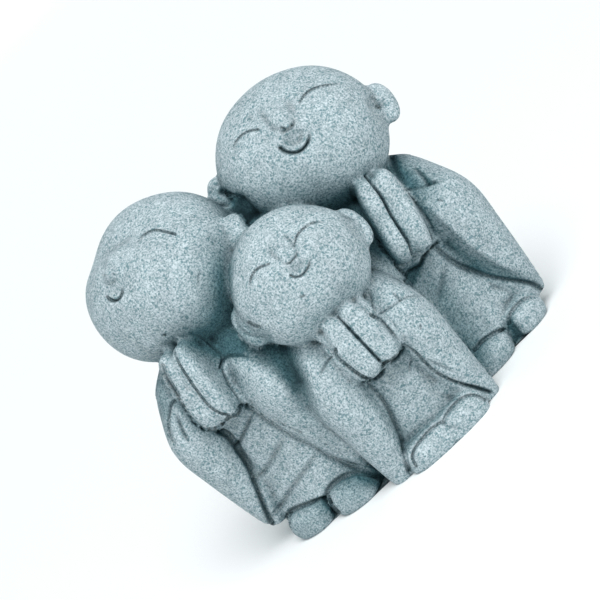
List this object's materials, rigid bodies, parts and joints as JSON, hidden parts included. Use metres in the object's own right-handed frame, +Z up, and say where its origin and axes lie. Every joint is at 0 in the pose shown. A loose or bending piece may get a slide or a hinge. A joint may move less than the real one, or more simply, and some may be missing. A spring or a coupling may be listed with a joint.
{
  "type": "monk statue",
  "caption": "small cast-stone statue: two grown monks and a child monk in front, standing close together, eyes closed, smiling, hands pressed together",
  "frame": {"origin": "middle of the bounding box in plan, on the ground plane under the feet", "axes": "+Z up; the figures face -Y; +X to the viewer's right of the figures"},
  "size_m": [0.1082, 0.0622, 0.0979],
  "materials": {
    "cast_stone": "rough, gritty cast sandstone, grey green, darker in the creases"
  },
  "bodies": {
    "root": {"three_monks": "cast_stone"}
  },
  "joints": []
}
